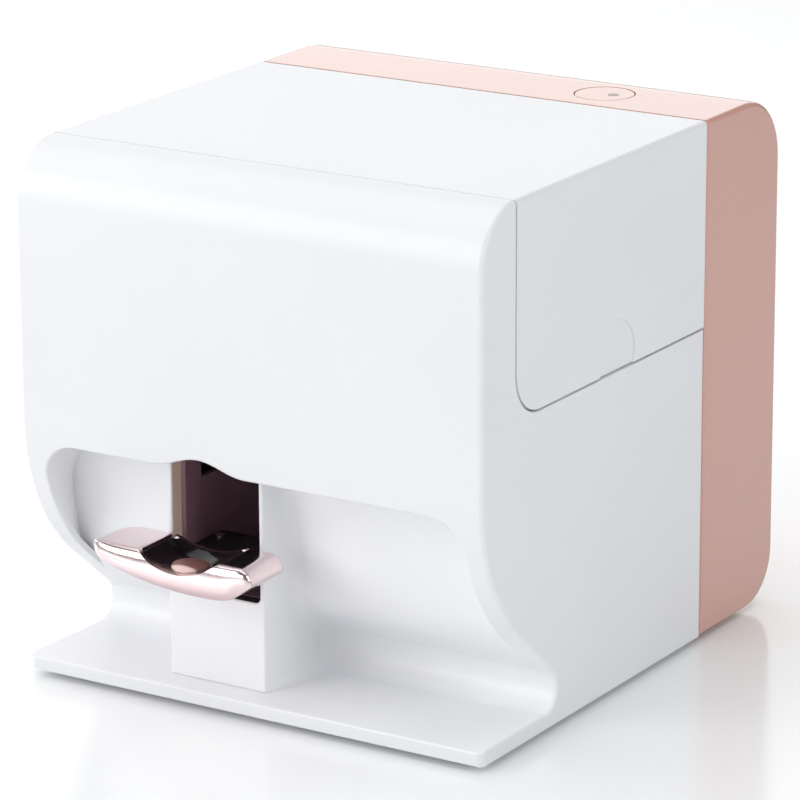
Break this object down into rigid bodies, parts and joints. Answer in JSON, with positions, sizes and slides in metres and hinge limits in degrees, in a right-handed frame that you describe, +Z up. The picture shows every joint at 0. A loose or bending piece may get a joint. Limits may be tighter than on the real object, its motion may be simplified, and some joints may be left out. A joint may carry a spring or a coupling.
{
  "type": "nail art printer",
  "caption": "Desktop nail printer: white cabinet with a hand recess, sprung chrome finger rest, lift-off cover over a two-axis print carriage, pink rear housing with a power button.",
  "frame": {"origin": "on the floor, under the centre of the overall box", "axes": "+X to the right as seen from the front, +Y to the back, +Z up; the front with the finger rest faces -Y"},
  "size_m": [0.208, 0.246, 0.214],
  "materials": {
    "white_plastic": "satin white moulding",
    "pink_plastic": "satin dusty pink moulding",
    "grey_plastic": "fine matt",
    "liner_plastic": "dark maroon, matt",
    "foot_rubber": "matt",
    "screw_steel": "zinc plated",
    "sheet_steel": "galvanised sheet",
    "rod_steel": "ground and polished",
    "motor_metal": "dark can",
    "belt_rubber": "matt",
    "black_rubber": "matt",
    "black_plastic": "matt",
    "lamp_board": "white solder mask",
    "circuit_board": "green solder mask",
    "spring_steel": "drawn wire",
    "dark_lens": "smoked window",
    "rose_chrome": "rose tinted chrome",
    "black_gloss": "piano black",
    "rose_silicone": "soft, satin",
    "bronze": "sintered bronze",
    "carriage_plastic": "fine matt",
    "cartridge_plastic": "matt",
    "latch_plastic": "matt",
    "pulley_metal": "turned"
  },
  "bodies": {
    "housing": {"front_shell": "white_plastic", "recess_panel": "white_plastic", "finger_tower": "white_plastic", "chamber_liner": "liner_plastic", "rear_housing": "pink_plastic", "bulkhead": "grey_plastic", "bay_frame": "grey_plastic", "rubber_feet": "foot_rubber", "base_screws": "screw_steel", "chassis": "sheet_steel", "depth_rods": "rod_steel", "idler_pins": "rod_steel", "depth_motor": "motor_metal", "depth_belts": "belt_rubber", "motor_belt": "belt_rubber", "maintenance_base": "grey_plastic", "cap_seal": "black_rubber", "wiper_blade": "black_rubber", "camera_bracket": "sheet_steel", "camera_module": "black_plastic", "light_board": "lamp_board", "main_board": "circuit_board", "board_chips": "black_plastic", "board_screws": "screw_steel", "power_jack": "black_plastic", "switch_board": "circuit_board", "tact_switch": "black_plastic", "guide_posts": "rod_steel", "rest_springs": "spring_steel"},
    "cover": {"cover": "white_plastic"},
    "power_key": {"power_button": "pink_plastic", "status_lens": "dark_lens"},
    "finger_rest": {"rest_cover": "rose_chrome", "rest_cradle": "black_gloss", "rest_pad": "rose_silicone", "rest_carrier": "black_plastic"},
    "gantry": {"gantry_beam": "sheet_steel", "gantry_bushes": "bronze", "cross_rods": "rod_steel", "cross_motor": "motor_metal", "cross_belt": "belt_rubber"},
    "print_carriage": {"carriage": "carriage_plastic", "carriage_bushes": "bronze", "ink_cartridge": "cartridge_plastic", "nozzle_plate": "bronze", "latch_pin": "rod_steel"},
    "latch": {"cartridge_latch": "latch_plastic"},
    "cross_drive": {"drive_pulley": "pulley_metal"},
    "cross_idler": {"idler_pulley": "pulley_metal"},
    "depth_drive": {"depth_shaft": "rod_steel"},
    "depth_return": {"depth_idlers": "pulley_metal"},
    "motor_drive": {"motor_pulley": "pulley_metal"}
  },
  "joints": [
    {"name": "cover_lift", "type": "slide", "parent": "housing", "child": "cover", "axis": [0, 0, 1], "range_m": [0, 0.085]},
    {"name": "power_press", "type": "slide", "parent": "housing", "child": "power_key", "axis": [0, 0, -1], "range_m": [0, 0.001], "stiffness_N_per_m": 1200, "springref_m": -0.0006},
    {"name": "rest_press", "type": "slide", "parent": "housing", "child": "finger_rest", "axis": [0, 0, -1], "range_m": [0, 0.006], "stiffness_N_per_m": 350, "springref_m": -0.004, "deforming": ["rest_springs"]},
    {"name": "gantry_slide", "type": "slide", "parent": "housing", "child": "gantry", "axis": [0, 1, 0], "range_m": [-0.026, 0.012]},
    {"name": "carriage_slide", "type": "slide", "parent": "gantry", "child": "print_carriage", "axis": [1, 0, 0], "range_m": [-0.095, 0]},
    {"name": "latch_pivot", "type": "hinge", "parent": "print_carriage", "child": "latch", "pos_m": [0.05, -0.004, 0.157], "axis": [-1, 0, 0], "range_deg": [0, 80]},
    {"name": "cross_drive_spin", "type": "hinge", "parent": "gantry", "child": "cross_drive", "pos_m": [-0.06, 0.004, 0.135], "axis": [0, 1, 0], "range_deg": [-920, 6]},
    {"name": "cross_idler_spin", "type": "hinge", "parent": "gantry", "child": "cross_idler", "pos_m": [0.06, 0.004, 0.135], "axis": [0, 1, 0], "range_deg": [-920, 6]},
    {"name": "depth_drive_spin", "type": "hinge", "parent": "housing", "child": "depth_drive", "pos_m": [0, 0.045, 0.1385], "axis": [1, 0, 0], "range_deg": [-256, 122]},
    {"name": "depth_return_spin", "type": "hinge", "parent": "housing", "child": "depth_return", "pos_m": [0, -0.0665, 0.1385], "axis": [1, 0, 0], "range_deg": [-256, 122]},
    {"name": "motor_drive_spin", "type": "hinge", "parent": "housing", "child": "motor_drive", "pos_m": [-0.068, 0.045, 0.1025], "axis": [1, 0, 0], "range_deg": [-256, 122]}
  ],
  "couplings": [
    {"joint": "cross_drive_spin", "follows": "carriage_slide", "rad_per_m": 166.67},
    {"joint": "cross_idler_spin", "follows": "carriage_slide", "rad_per_m": 166.67},
    {"joint": "depth_drive_spin", "follows": "gantry_slide", "rad_per_m": 166.67},
    {"joint": "depth_return_spin", "follows": "gantry_slide", "rad_per_m": 166.67},
    {"joint": "motor_drive_spin", "follows": "gantry_slide", "rad_per_m": 166.67}
  ]
}
